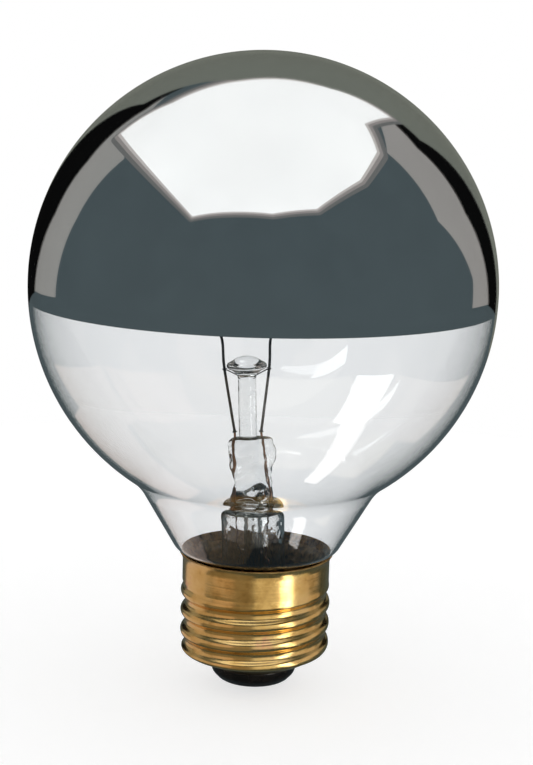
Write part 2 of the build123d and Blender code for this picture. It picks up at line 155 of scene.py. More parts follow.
def new_mesh(name, points, quads, triangles=None):
    """Mesh from point, quad and triangle arrays in millimetres, smooth but for sharp edges."""
    mesh = bpy.data.meshes.new(name)
    faces = quads.tolist() + ([] if triangles is None else triangles.tolist())
    mesh.from_pydata((points * MM).tolist(), [], faces)
    mesh.polygons.foreach_set("use_smooth", np.ones(len(faces), dtype=bool))
    mesh.set_sharp_from_angle(angle=math.radians(40))
    mesh.update()
    piece = bpy.data.objects.new(name, mesh)
    bpy.context.scene.collection.objects.link(piece)
    return piece


def skin(name, grid, closed_rows):
    """Closed surface over a grid of rows (along a profile) and columns (round the axis).

    Columns always join up. Rows join last to first, or else each end row gets one pole at its mean.
    """
    rows, columns = grid.shape[:2]
    points = grid.reshape(-1, 3)
    across = np.roll(np.arange(columns), -1)
    low = np.arange(rows if closed_rows else rows - 1)
    high = (low + 1) % rows
    a = low[:, None] * columns + np.arange(columns)
    b = low[:, None] * columns + across
    c = high[:, None] * columns + across
    d = high[:, None] * columns + np.arange(columns)
    quads = np.stack([a, b, c, d], axis=2).reshape(-1, 4)
    if closed_rows:
        return new_mesh(name, points, outward(points, quads))
    first, last = rows * columns, rows * columns + 1
    points = np.vstack([points, grid[0].mean(axis=0), grid[-1].mean(axis=0)])
    ring = np.arange(columns)
    top = np.stack([np.full(columns, first), across, ring], axis=1)
    foot = (rows - 1) * columns
    bottom = np.stack([np.full(columns, last), foot + ring, foot + across], axis=1)
    turned = outward(points, quads)
    if turned is not quads:
        top, bottom = top[:, ::-1], bottom[:, ::-1]
    return new_mesh(name, points, turned, np.vstack([top, bottom]))


def round_grid(profile, columns):
    """Each (radius, height) of the profile carried once round the axis."""
    angle = np.linspace(0, TAU, columns, endpoint=False)
    radius, height = profile[:, 0:1], profile[:, 1:2]
    x, y = radius * np.cos(angle), radius * np.sin(angle)
    return np.stack([x, y, np.broadcast_to(height, x.shape)], axis=2)


def arc(centre, radius, start, end, count):
    """Points of a circle about centre from one angle to another, in degrees above level."""
    angle = np.radians(np.linspace(start, end, count))
    return centre + radius * np.stack([np.cos(angle), np.sin(angle)], axis=1)


def line(*corners, step=0.4):
    """Straight runs through the corners, divided into steps of about the given length."""
    runs = []
    for a, b in zip(corners[:-1], corners[1:]):
        a, b = np.asarray(a, float), np.asarray(b, float)
        count = max(int(np.hypot(*(b - a)) / step), 1)
        runs.append(a + (b - a) * np.linspace(0, 1, count + 1)[:-1, None])
    return np.vstack(runs + [np.asarray(corners[-1], float)[None]])


def lean(points):
    """Turn points of the upright stem towards -X about its foot."""
    moved = points.copy()
    up = points[..., 2] - STEM_FOOT_Z
    moved[..., 0] = points[..., 0] * math.cos(STEM_LEAN) - up * math.sin(STEM_LEAN)
    moved[..., 2] = STEM_FOOT_Z + points[..., 0] * math.sin(STEM_LEAN) + up * math.cos(STEM_LEAN)
    return moved


def ring_point(angle, z):
    """Place in the stem, between the pumping tube and the stem tube's bore."""
    return (LEAD_RING_R * math.cos(math.radians(angle)), LEAD_RING_R * math.sin(math.radians(angle)), z)


def leaned(*point):
    return tuple(lean(np.array([point], float))[0])


def smooth_path(points, per_run):
    """Catmull-Rom curve through the points, with its ends continued straight."""
    points = np.asarray(points, float)
    p = np.vstack([2 * points[0] - points[1], points, 2 * points[-1] - points[-2]])
    t = np.linspace(0, 1, per_run, endpoint=False)[:, None]
    runs = []
    for a, b, c, d in zip(p[:-3], p[1:-2], p[2:-1], p[3:]):
        runs.append(0.5 * (2 * b + (c - a) * t + (2 * a - 5 * b + 4 * c - d) * t**2
                           + (3 * b - a - 3 * c + d) * t**3))
    return np.vstack(runs + [points[-1:]])


def tube_grid(path, radius, columns=12):
    """A circle carried along the path, square to it, turning no more than the path does.

    The radius is one number or one for each point; each end closes on its own pole.
    """
    along = np.gradient(path, axis=0)
    along /= np.linalg.norm(along, axis=1)[:, None]
    side = np.zeros_like(path)
    first = np.cross(along[0], [0.31, 0.95, 0.05])
    side[0] = first / np.linalg.norm(first)
    for i in range(1, len(path)):
        carried = side[i - 1] - along[i] * np.dot(side[i - 1], along[i])
        side[i] = carried / np.linalg.norm(carried)
    other = np.cross(along, side)
    angle = np.linspace(0, TAU, columns, endpoint=False)[None, :, None]
    reach = np.broadcast_to(radius, (len(path),))[:, None, None]
    return path[:, None] + reach * (np.cos(angle) * side[:, None] + np.sin(angle) * other[:, None])


# Nodes and materials

class Nodes:
    """Short way to add and join the nodes of one material."""

    def __init__(self, name):
        self.material = bpy.data.materials.new(name)
        self.material.use_nodes = True
        self.tree = self.material.node_tree
        self.tree.nodes.clear()
        self.output = self.tree.nodes.new("ShaderNodeOutputMaterial")

    def add(self, kind, **inputs):
        node = self.tree.nodes.new(kind)
        for key, value in inputs.items():
            if key.startswith("set_"):
                setattr(node, key[4:], value)
            else:
                self.put(node, key.replace("_", " "), value)
        return node

    def put(self, node, socket, value):
        self.put_in(node.inputs[socket], value)

    def put_in(self, target, value):
        """Link a socket to the target, or give it a plain value."""
        if isinstance(value, bpy.types.NodeSocket):
            self.tree.links.new(value, target)
        else:
            target.default_value = value

    def noise(self, scale, detail=3.0, rough=0.5):
        place = self.add("ShaderNodeTexCoord")
        noise = self.add("ShaderNodeTexNoise", Scale=scale, Detail=detail, Roughness=rough,
                         Vector=place.outputs["Object"])
        return noise.outputs["Fac"]

    def ramp(self, value, stops):
        """Colour ramp: a list of (position, colour)."""
        node = self.add("ShaderNodeValToRGB", Fac=value)
        ramp = node.color_ramp
        while len(ramp.elements) < len(stops):
            ramp.elements.new(0.5)
        for element, (position, colour) in zip(ramp.elements, stops):
            element.position = position
            element.color = (*colour, 1.0)
        return node.outputs["Color"]

    def span(self, value, low, high):
        node = self.add("ShaderNodeMapRange", Value=value)
        node.inputs["To Min"].default_value = low
        node.inputs["To Max"].default_value = high
        return node.outputs["Result"]

    def mix_values(self, share, low, high):
        """A value that goes from low to high as share goes from 0 to 1."""
        node = self.add("ShaderNodeMix", set_data_type="FLOAT")
        for socket, value in zip(node.inputs[:4], (share, None, low, high)):
            if value is not None:
                self.put_in(socket, value)
        return node.outputs[0]

    def mix_colours(self, share, low, high):
        """A colour that goes from low to high as share goes from 0 to 1."""
        node = self.add("ShaderNodeMix", set_data_type="RGBA")
        self.put_in(node.inputs[0], share)
        self.put_in(node.inputs[6], low)
        self.put_in(node.inputs[7], high)
        return node.outputs[2]

    def bump(self, height, distance, strength=1.0):
        return self.add("ShaderNodeBump", Height=height, Distance=distance,
                        Strength=strength).outputs["Normal"]

    def finish(self, shader):
        self.tree.links.new(shader.outputs[0], self.output.inputs["Surface"])
        return self.material


def glass(name, tint, index, waves, absorb, density):
    """Clear glass with long soft waves, which darkens a little where it is looked along."""
    n = Nodes(name)
    scale, height = waves
    shader = n.add("ShaderNodeBsdfPrincipled", Base_Color=(*tint, 1), Roughness=0.0, IOR=index,
                   Transmission_Weight=1.0, Normal=n.bump(n.noise(scale, 2.0), height))
    body = n.add("ShaderNodeVolumeAbsorption", Color=(*absorb, 1), Density=density)
    n.tree.links.new(body.outputs[0], n.output.inputs["Volume"])
    return n.finish(shader)


def mirror_film():
    """Bright vacuum-coated silver, a little cool, with barely any haze."""
    n = Nodes("mirror_film")
    tone = n.ramp(n.noise(30.0, 2.0), [(0.3, (0.83, 0.85, 0.86)), (0.7, (0.88, 0.89, 0.89))])
    haze = n.span(n.noise(90.0, 2.0), 0.0, 0.03)
    return n.finish(n.add("ShaderNodeBsdfPrincipled", Base_Color=tone, Metallic=1.0, Roughness=haze))


def rolled_brass():
    """Bright rolled brass with fine marks round it, a pink tarnish, and a baked brown inside."""
    n = Nodes("rolled_brass")
    place = n.add("ShaderNodeTexCoord")
    squash = n.add("ShaderNodeMapping", Vector=place.outputs["Object"])
    squash.inputs["Scale"].default_value = (60, 60, 2600)
    lines = n.add("ShaderNodeTexNoise", Scale=1.0, Detail=3.0, Vector=squash.outputs[0]).outputs["Fac"]
    outside = n.ramp(n.noise(130.0, 5.0, 0.65), [(0.32, (0.52, 0.31, 0.09)), (0.45, (0.78, 0.52, 0.19)),
                                                 (0.6, (0.86, 0.61, 0.26)), (0.72, (0.80, 0.42, 0.26))])
    baked = n.ramp(n.noise(520.0, 6.0, 0.75), [(0.38, (0.16, 0.07, 0.02)), (0.5, (0.50, 0.23, 0.06)),
                                               (0.64, (0.98, 0.50, 0.12))])
    inside = n.add("ShaderNodeAttribute", set_attribute_name="inside").outputs["Fac"]
    rough_out = n.span(n.noise(200.0, 3.0), 0.15, 0.27)
    rough = n.mix_values(inside, rough_out, 0.75)
    tone = n.mix_colours(inside, outside, baked)
    metal = n.mix_values(inside, 1.0, 0.0)
    return n.finish(n.add("ShaderNodeBsdfPrincipled", Base_Color=tone, Metallic=metal, Roughness=rough,
                          Normal=n.bump(lines, 0.00002)))


def black_glass():
    """Opaque black moulded glass with a brown cast and soft moulding waves."""
    n = Nodes("black_glass")
    tone = n.ramp(n.noise(300.0, 4.0), [(0.3, (0.006, 0.005, 0.004)), (0.8, (0.020, 0.014, 0.010))])
    waves = n.bump(n.noise(700.0, 3.0), 0.00006)
    return n.finish(n.add("ShaderNodeBsdfPrincipled", Base_Color=tone, Roughness=0.22, IOR=1.4,
                          Normal=waves))


def wire_metal(name, dark, light, rough):
    """Drawn wire: a metal whose tone varies along it."""
    n = Nodes(name)
    tone = n.ramp(n.noise(900.0, 2.0), [(0.3, dark), (0.75, light)])
    spread = n.span(n.noise(1500.0, 2.0), rough * 0.8, rough * 1.3)
    return n.finish(n.add("ShaderNodeBsdfPrincipled", Base_Color=tone, Metallic=1.0, Roughness=spread))


def solder():
    """Dull tin solder, slightly lumpy where it set."""
    n = Nodes("solder")
    tone = n.ramp(n.noise(700.0, 3.0), [(0.3, (0.42, 0.42, 0.43)), (0.75, (0.66, 0.66, 0.67))])
    lumps = n.bump(n.noise(900.0, 3.0), 0.00008)
    return n.finish(n.add("ShaderNodeBsdfPrincipled", Base_Color=tone, Metallic=1.0, Roughness=0.38,
                          Normal=lumps))


def cement():
    """Baked brown basing cement, matt and grainy."""
    n = Nodes("cement")
    tone = n.ramp(n.noise(900.0, 5.0), [(0.35, (0.22, 0.10, 0.03)), (0.5, (0.62, 0.33, 0.11)),
                                            (0.65, (0.95, 0.58, 0.24))])
    grain = n.bump(n.noise(2200.0, 5.0), 0.0001)
    return n.finish(n.add("ShaderNodeBsdfPrincipled", Base_Color=tone, Roughness=0.85, Normal=grain))


# Pieces

def dress(piece, material, slot, *nodes):
    """Give a piece its finish, and let it stand for the solids named; the slot is not used."""
    piece.data.materials.append(material)
    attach(piece, "root")
    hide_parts(*nodes)
    return piece


def glass_profile(depth):
    """One face of the blown wall: globe arc, hollow arc, cone, entry and neck."""
    radius, hollow = GLOBE_R - depth, GLOBE_FILLET + depth
    towards = FILLET_AT - GLOBE_AT
    join = math.degrees(math.atan2(towards[1], towards[0]))
    globe = arc(GLOBE_AT, radius, 89.5, join, int((90 - join) * 1.6))
    start = join + 180
    end = math.degrees(math.atan2(-OUT_OF_NECK[1], -OUT_OF_NECK[0]))
    hollow_arc = arc(FILLET_AT, hollow, start, end, 24)[1:]
    corners = [CONE_TOP, NECK_CORNER, NECK_ENTRY, NECK_TOP]
    shift = [OUT_OF_NECK, (0.95, -0.31), (0.78, -0.62), (1.0, 0.0)]
    moved = [np.array(c) - depth * np.array(s) for c, s in zip(corners, shift)]
    foot = np.array([NECK_R - depth, SEAL_Z])
    neck = line(*moved, foot, step=0.35)[1:]
    return np.vstack([globe, hollow_arc, round_off(neck, 1.0)])


def round_off(points, reach, step=0.35):
    """Running mean of a line over the given reach, with its ends kept."""
    half = int(reach / step)
    window = np.hanning(2 * half + 3)[1:-1]
    window /= window.sum()
    padded = np.vstack([np.repeat(points[:1], half, 0), points, np.repeat(points[-1:], half, 0)])
    out = np.stack([np.convolve(padded[:, i], window, "valid") for i in (0, 1)], axis=1)
    out[0], out[-1] = points[0], points[-1]
    return out


def glass_globe():
    """Blown wall: its outside from the pole down, and its inside back up."""
    profile = np.vstack([glass_profile(0.0), glass_profile(WALL)[::-1]])
    return skin("glass_globe_piece", round_grid(profile, GLOBE_COLUMNS), closed_rows=False)


def silver_crown():
    """Film on the inside of the globe, down to a level edge."""
    outer_r = GLOBE_R - WALL - FILM_PLAY
    inner_r = outer_r - MIRROR_FILM
    edge = math.degrees(math.asin((MIRROR_EDGE_Z - GLOBE_Z) / outer_r))
    outer = arc(GLOBE_AT, outer_r, 89.5, edge, 120)
    inner = arc(GLOBE_AT, inner_r, edge, 89.5, 120)
    return skin("silver_crown_piece", round_grid(np.vstack([outer, inner]), GLOBE_COLUMNS),
                closed_rows=False)


def smooth_step(t):
    t = np.clip(t, 0, 1)
    return t * t * (3 - 2 * t)


def thread_wave(height, turn):
    """Radius of the rolled thread: arcs of crest and root that climb one pitch each turn."""
    quarter, depth = PITCH / 4, (CREST_R - ROOT_R) / 2
    bend = (quarter**2 + depth**2) / (2 * depth)
    from_crest = np.abs((height - THREAD_START - PITCH * turn + PITCH / 2) % PITCH - PITCH / 2)
    crest = CREST_R - bend + np.sqrt(bend**2 - np.minimum(from_crest, quarter) ** 2)
    root = ROOT_R + bend - np.sqrt(bend**2 - np.minimum(PITCH / 2 - from_crest, quarter) ** 2)
    return np.where(from_crest <= quarter, crest, root)


def shoulder(degrees):
    """Superellipse from the lip (0) to the foot of the straight wall (90): radius and height."""
    power = 2 / SHOULDER_BULGE
    radius = LIP_R + (ROOT_R - LIP_R) * np.sin(np.radians(degrees)) ** power
    height = SHOULDER_Z - SHOULDER_H * np.cos(np.radians(degrees)) ** power
    return radius, height


def set_in(radius, height, depth):
    """The same line moved inwards by depth, square to itself."""
    dr, dz = np.gradient(radius, axis=0), np.gradient(height, axis=0)
    size = np.hypot(dr, dz)
    return radius - depth * dz / size, height + depth * dr / size


def screw_shell():
    """Cap wall: shoulder, threaded wall and flared rim, and the same line one sheet inside."""
    turn = np.linspace(0, 1, 216, endpoint=False)[None, :]
    low_r, low_z = shoulder(np.linspace(0, 90, 26, endpoint=False))
    high_z = np.linspace(SHOULDER_Z, RIM_Z, 112)
    flare = np.clip((high_z - RIM_Z + FLARE_H) / FLARE_H, 0, 1) ** 2
    middle = (SHOULDER_Z + THREAD_TOP) / 2
    high_r = np.where(high_z < middle, ROOT_R, COLLAR_R + RIM_FLARE * flare)
    height = np.concatenate([low_z, high_z])[:, None] + 0 * turn
    base = np.concatenate([low_r, high_r])[:, None] + 0 * turn
    wave = thread_wave(height, turn)
    fade_in = smooth_step((height - THREAD_LOW) / THREAD_FADE) * (wave - ROOT_R)
    fade_out = smooth_step((THREAD_TOP - height) / THREAD_FADE) * (wave - base)
    radius = base + np.where(height < middle, fade_in, fade_out)
    inner_r, inner_z = set_in(radius, height, SHEET)
    radius, height = np.vstack([radius, inner_r[::-1]]), np.vstack([height, inner_z[::-1]])
    grid = np.stack([radius * np.cos(TAU * turn), radius * np.sin(TAU * turn), height], axis=2)
    piece = skin("screw_shell_piece", grid, closed_rows=True)
    inside = piece.data.attributes.new("inside", "FLOAT", "POINT")
    inside.data.foreach_set("value", np.repeat([0.0, 1.0], grid.shape[0] * grid.shape[1] // 2))
    return piece


def stem_rings(shape, columns=96):
    """Superellipse rings: each row gives height, half width, half depth and squareness."""
    height, wide, deep, square = smooth_path(shape, 8).T
    angle = np.linspace(0, TAU, columns, endpoint=False)[None, :]
    power = 2 / square[:, None]
    x = wide[:, None] * np.sign(np.cos(angle)) * np.abs(np.cos(angle)) ** power
    y = deep[:, None] * np.sign(np.sin(angle)) * np.abs(np.sin(angle)) ** power
    return np.stack([x, y, np.broadcast_to(height[:, None], x.shape)], axis=2)


def press_unevenness(grid):
    """Worked glass: slow waves over the press, and the port's ring and dimple in its front."""
    x, y, z = grid[..., 0], grid[..., 1], grid[..., 2]
    share = smooth_step((z - TUBE_TOP + 0.6) / 1.5) * smooth_step((PRESS_TOP - z) / 1.5)
    x += share * (0.16 * np.sin(1.25 * z + 0.6 * y) + 0.07 * np.sin(3.1 * z + 1.0))
    y += share * (0.14 * np.sin(1.1 * z + 0.9 * x + 2.0) + 0.08 * np.sin(2.6 * z - 1.3 * x))
    reach = np.hypot(x - PORT_X, z - PORT_Z)
    ring = 0.75 * np.exp(-((reach - 0.95) / 0.5) ** 2) - 0.9 * np.exp(-(reach / 0.6) ** 2)
    y -= np.where(y < 0, ring, 0)
    return grid


def stem_piece():
    """Flared tube and press outside, and the open bore inside, as one closed skin."""
    head, waist, foot = 4.1, 3.28, 3.7
    deep = 0.56
    outside = stem_rings(np.array([
        [SEAL_Z - 0.88, NECK_R - 0.2, NECK_R - 0.2, 2.0],
        [SEAL_Z - 0.2, NECK_R - 0.1, NECK_R - 0.1, 2.0],
        [SEAL_Z + 0.2, NECK_R - 0.9, NECK_R - 0.9, 2.0],
        [SEAL_Z + 1.1, 8.4, 8.4, 2.0],
        [SEAL_Z + 3.0, 6.6, 6.6, 2.0],
        [TRUMPET_TOP, TUBE_R + 0.1, TUBE_R + 0.1, 2.0],
        [TRUMPET_TOP + 6.0, TUBE_R, TUBE_R, 2.0],
        [TUBE_TOP - 2.6, TUBE_R, TUBE_R, 2.0],
        [TUBE_TOP - 1.2, TUBE_R - 0.1, TUBE_R - 0.1, 2.0],
        [TUBE_TOP - 0.5, TUBE_R - 0.5, TUBE_R - 0.6, 2.0],
        [TUBE_TOP - 0.1, TUBE_R - 1.2, TUBE_R - 1.6, 2.1],
        [TUBE_TOP + 0.15, foot + 0.2, foot * deep + 0.6, 2.4],
        [TUBE_TOP + 0.8, foot, foot * deep, 2.8],
        [TUBE_TOP + 3.8, waist, waist * deep, 3.2],
        [TUBE_TOP + 8.0, head, head * deep, 3.2],
        [PRESS_TOP - 1.2, head - 0.15, head * deep - 0.15, 3.0],
        [PRESS_TOP - 0.3, head - 0.6, head * deep - 0.6, 2.6],
        [PRESS_TOP - 0.02, head - 1.5, head * deep - 1.2, 2.2],
    ]))
    bore = [(SEAL_Z - 0.88, 9.7), (SEAL_Z - 0.3, 8.9), (SEAL_Z + 0.8, 7.3), (SEAL_Z + 3.0, 5.6),
            (TRUMPET_TOP, TUBE_BORE_R + 0.1), (TRUMPET_TOP + 6.0, TUBE_BORE_R),
            (TUBE_BORE_TOP - 0.9, TUBE_BORE_R), (TUBE_BORE_TOP - 0.2, TUBE_BORE_R - 0.3),
            (TUBE_BORE_TOP, TUBE_BORE_R - 1.6)]
    inside = stem_rings(np.array([[z, r, r, 2.0] for z, r in bore]))
    grid = np.vstack([press_unevenness(outside)[::-1], inside])
    share = smooth_step((grid[..., 2:3] - SEAL_Z) / 6.0)
    return skin("stem_glass_piece", grid * (1 - share) + lean(grid) * share, closed_rows=False)


def exhaust_tube():
    """Pumping tube: a melted round tip, straight walls and an open bore, as one cup."""
    tip_at = np.array([0, EXHAUST_TIP + EXHAUST_R])
    bore_r = EXHAUST_R - EXHAUST_WALL
    top = TUBE_BORE_TOP - 0.02
    profile = np.vstack([
        arc(tip_at, EXHAUST_R, -88, 0, 14),
        line((EXHAUST_R, tip_at[1]), (EXHAUST_R, top), (bore_r, top), (bore_r, tip_at[1]))[1:],
        arc(tip_at, bore_r, 0, -88, 12)[1:],
    ])
    return skin("exhaust_tube_piece", lean(round_grid(profile, 48)), closed_rows=False)


def arbor_rod():
    """Rod and its pressed button: straight wall, hollow neck, round edge and low dome."""
    dome_r = BUTTON_R - BUTTON_EDGE
    neck_z = BUTTON_Z - 2.2
    rod = line((ARBOR_R, PRESS_TOP - 0.3), (ARBOR_R, neck_z))
    throat = smooth_path([(ARBOR_R, neck_z), (ARBOR_R + 0.25, BUTTON_Z - 1.5),
                          (dome_r - 0.2, BUTTON_Z - BUTTON_EDGE - 0.1), (dome_r, BUTTON_Z - BUTTON_EDGE)], 6)
    rim = arc(np.array([dome_r, BUTTON_Z]), BUTTON_EDGE, -90, 80, 12)
    t = np.linspace(0, 1, 14)[:, None]
    top = np.hstack([dome_r * (1 - t * 0.99), BUTTON_Z + BUTTON_EDGE + 1.14 * (1 - (1 - t) ** 2)])
    grid = round_grid(np.vstack([rod, throat[1:], rim[1:], top[1:]]), 64)
    grid[..., 0] += ARBOR_X
    return skin("arbor_rod_piece", lean(grid), closed_rows=False)


def knotted(path, radius, knot_r):
    """Wire radius along the path, swelling to a weld bead at its start."""
    run = np.concatenate([[0], np.cumsum(np.linalg.norm(np.diff(path, axis=0), axis=1))])
    bead = np.sqrt(np.clip(knot_r**2 - run**2, 0, None))
    return np.maximum(radius, bead)


def inner_lead(side):
    """Stiff lead from the weld above the press, past the button and out to the filament."""
    route = [(LEAD_AT_PRESS, LEAD_FOOT_Z), (2.9, 50.0), (3.9, BUTTON_Z), (4.3, BUTTON_Z + 5.1),
             (6.6, BUTTON_Z + 8.2), (11.0, BUTTON_Z + 13.1)]
    points = np.array([(ARBOR_X + side * x, 0.0, z) for x, z in route])
    path = lean(smooth_path(points, 12))
    return tube_grid(path, knotted(path, LEAD_R, KNOT_R))


def seal_wire(side):
    """Wire through the press, out into the tube below, with the weld bead at the press's foot."""
    points = np.array([(ARBOR_X + side * LEAD_AT_PRESS, 0.0, LEAD_FOOT_Z),
                       (ARBOR_X / 2 + side * 2.5, 0.0, PRESS_TOP - 4.8),
                       (side * SEAL_WIRE_OUT, 0.0, SEAL_WIRE_END)])
    path = smooth_path(points, 16)
    bead = np.sqrt(np.clip(KNOT_R**2 - (path[:, 2] - TUBE_BORE_TOP + 0.1) ** 2, 0, None))
    return tube_grid(lean(path), np.maximum(OUTER_LEAD_R, bead * 0.8))


def outer_lead(route):
    """Wire below the weld under the press, along its own route."""
    path = smooth_path(route, 12)
    return tube_grid(path, knotted(path, OUTER_LEAD_R, KNOT_R))


def side_route():
    """Down the tube, under the seal and up beside the neck to the rim."""
    under = SEAL_Z - 2.5
    return [leaned(-SEAL_WIRE_OUT, 0, SEAL_WIRE_END), leaned(*ring_point(155, 25.6)), ring_point(123, 17.0),
            (0.0, SIDE_WIRE_AT - 3.2, under + 0.1), (0.0, SIDE_WIRE_AT - 0.7, under + 0.1),
            (0.0, SIDE_WIRE_AT - 0.05, under + 1.0), (0.0, SIDE_WIRE_AT, 20.8),
            (0.0, (COLLAR_R + RIM_R) / 2 - SHEET, RIM_Z + 0.1)]


def centre_route():
    """Behind the pumping tube, past its tip and down into the eyelet."""
    return [leaned(SEAL_WIRE_OUT, 0, SEAL_WIRE_END), leaned(*ring_point(50, 25.6)),
            ring_point(35, TRUMPET_TOP), ring_point(50, 10.7), (0.1, 0.1, SHOULDER_Z), (0.0, 0.0, 1.2)]


def tie_wire(side):
    """Fine wire from under the button to one turn round the lead."""
    lead_x = ARBOR_X + side * 3.8
    loop_r = LEAD_R + TIE_R
    foot = (ARBOR_X + side * ARBOR_R / 2, 0.0, BUTTON_Z - 2.1)
    angle = np.linspace(0.5 * math.pi, 2.4 * math.pi, 20)
    loop = np.stack([lead_x - side * loop_r * np.sin(angle), loop_r * np.cos(angle),
                     BUTTON_Z - 0.7 + 0.012 * np.arange(20)], axis=1)
    path = np.vstack([smooth_path([foot, tuple(loop[0])], 6)[:-1], loop])
    return tube_grid(lean(path), TIE_R, 8)


def filament():
    """Fine coil: a small circle wound round a shallow bow between the leads' ends."""
    turns, per_turn, coil_r, wire_r = 46, 14, 0.36, 0.07
    t = np.linspace(0, 1, turns * per_turn)
    reach = 10.2
    bow = np.stack([ARBOR_X + reach * (2 * t - 1), 0 * t, 69.8 + 2.0 * (1 - (2 * t - 1) ** 2)], axis=1)
    along = np.gradient(bow, axis=0)
    along /= np.linalg.norm(along, axis=1)[:, None]
    level = np.array([[0.0, 1.0, 0.0]])
    other = np.cross(along, level)
    swing = (TAU * turns * t)[:, None]
    path = bow + coil_r * (np.cos(swing) * level + np.sin(swing) * other)
    return tube_grid(lean(path), wire_r, 6)


def base_insulator():
    """Black glass: foot, bulged side, the lip round the cap's edge and the fill of the shoulder."""
    wall = np.stack(set_in(*shoulder(np.linspace(12, 80, 16)), SHEET + 0.03), axis=1)
    side = smooth_path([(FOOT_R + 0.05, FOOT_Z + 0.1), (FOOT_R + 0.95, FOOT_Z + 1.2),
                        (LIP_R + 0.25, LIP_Z - 0.3)], 8)
    top = SHOULDER_Z - 0.05
    profile = np.vstack([
        line((INSULATOR_HOLE_R, CONTACT_TOP + 0.02), (CONTACT_R, CONTACT_TOP + 0.02), (FOOT_R - 0.25, FOOT_Z - 0.1)),
        side,
        arc(np.array([LIP_R, LIP_Z - 0.3]), 0.25, 20, 90, 5),
        line((LIP_R - 0.2, LIP_Z - 0.05), (LIP_R - 0.2, LIP_Z + 0.4)),
        wall,
        line((wall[-1][0], top), (INSULATOR_HOLE_R, top), (INSULATOR_HOLE_R, CONTACT_TOP + 0.4)),
    ])
    return skin("base_insulator_piece", round_grid(profile, 120), closed_rows=True)


def centre_contact():
    """Contact plate with a rolled edge, and the eyelet through the insulator."""
    edge_r = (CONTACT_TOP - CONTACT_Z) / 2
    rolled = np.array([CONTACT_R - edge_r, CONTACT_Z + edge_r])
    bore_r = INSULATOR_HOLE_R - 0.33
    eyelet_top = CONTACT_TOP + 1.35
    profile = np.vstack([
        line((bore_r, CONTACT_Z), (bore_r, eyelet_top), (INSULATOR_HOLE_R - 0.02, eyelet_top),
             (INSULATOR_HOLE_R - 0.02, CONTACT_TOP), (CONTACT_R - edge_r, CONTACT_TOP)),
        arc(rolled, edge_r, 80, -90, 8),
        line((CONTACT_R - edge_r - 0.1, CONTACT_Z), (bore_r + 0.2, CONTACT_Z)),
    ])
    return skin("centre_contact_piece", round_grid(profile, 72), closed_rows=True)


def centre_solder():
    """Solder dome under the contact, with a small flat, and the fill of the eyelet."""
    fill_r, fill_top = INSULATOR_HOLE_R - 0.36, CONTACT_Z + 1.1
    dome = smooth_path([(0.8, 0.0), (1.5, 0.06), (2.2, 0.26), (2.6, CONTACT_Z)], 8)
    fill = line((2.6, CONTACT_Z), (fill_r, CONTACT_Z), (fill_r, fill_top), (0.05, fill_top))[1:]
    return skin("centre_solder_piece", round_grid(np.vstack([[(0.05, 0.0)], dome, fill]), 48),
                closed_rows=False)


def basing_cement():
    """Ring between collar and neck, with a ragged top edge."""
    columns = 180
    angle = np.linspace(0, TAU, columns, endpoint=False)
    ragged = 0.22 * np.sin(5 * angle + 0.7) + 0.16 * np.sin(11 * angle) + 0.1 * np.sin(23 * angle + 2.0)
    profile = line((11.25, 20.3), (12.58, 20.3), (12.58, 23.0), (12.7, 23.6), (12.2, 23.6), (11.95, 23.2),
                   (11.3, 22.2))
    grid = round_grid(profile, columns)
    share = smooth_step((grid[..., 2] - 22.6) / 1.0)
    grid[..., 2] += share * (ragged[None, :] - 0.25)
    return skin("basing_cement_piece", grid, closed_rows=True)


def build_lamp():
    """Every piece with its finish, in place of the solid that it stands for."""
    blown = glass("clear_glass", (0.985, 0.99, 0.995), 1.5, (45.0, 0.00002), (0.45, 0.52, 0.56), 120.0)
    worked = glass("stem_glass", (0.97, 0.98, 0.985), 1.55, (260.0, 0.0003), (0.4, 0.44, 0.46), 25.0)
    brass, tin = rolled_brass(), solder()
    lead_metal = wire_metal("lead_metal", (0.035, 0.036, 0.04), (0.12, 0.125, 0.135), 0.4)
    copper = wire_metal("copper_coat", (0.16, 0.075, 0.045), (0.40, 0.21, 0.13), 0.35)
    tungsten = wire_metal("tungsten", (0.12, 0.12, 0.13), (0.3, 0.3, 0.31), 0.4)
    dress(glass_globe(), blown, "clear_glass", "glass_globe")
    dress(silver_crown(), mirror_film(), "mirror_film", "silver_crown")
    dress(screw_shell(), brass, "brass", "screw_shell")
    dress(stem_piece(), worked, "stem_glass", "stem_glass")
    dress(exhaust_tube(), worked, "stem_glass", "exhaust_tube")
    dress(arbor_rod(), worked, "stem_glass", "arbor_rod")
    for name, side in (("left", -1), ("right", 1)):
        dress_wire(f"inner_lead_{name}", inner_lead(side), lead_metal, "lead_wire")
        dress_wire(f"seal_wire_{name}", seal_wire(side), copper, "copper")
        dress_wire(f"tie_wire_{name}", tie_wire(side), lead_metal, "lead_wire")
    dress_wire("outer_lead_side", outer_lead(side_route()), copper, "copper")
    dress_wire("outer_lead_centre", outer_lead(centre_route()), copper, "copper")
    dress_wire("filament", filament(), tungsten, "tungsten")
    dress(base_insulator(), black_glass(), "black_glass", "base_insulator")
    dress(centre_contact(), brass, "brass", "centre_contact")
    dress(centre_solder(), tin, "solder", "centre_solder")
    dress(basing_cement(), cement(), "cement", "basing_cement")
    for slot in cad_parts["side_solder"].material_slots:
        slot.material = tin


def dress_wire(node, grid, material, slot):
    """A wire's skin, which stands for the node of the same name."""
    return dress(skin(f"{node}_piece", grid, closed_rows=False), material, slot, node)


# Stage and light

VIEW_RISE_AT_GLOBE = 7.3   # degrees from the globe up to the camera
BOX_HEIGHT = 330.0
BOX_MIDDLE = np.array([-0.1, 1.0, 0.4])
CAP_BOARD_R = 72.0
CAP_BOARD_TOP = 41.0
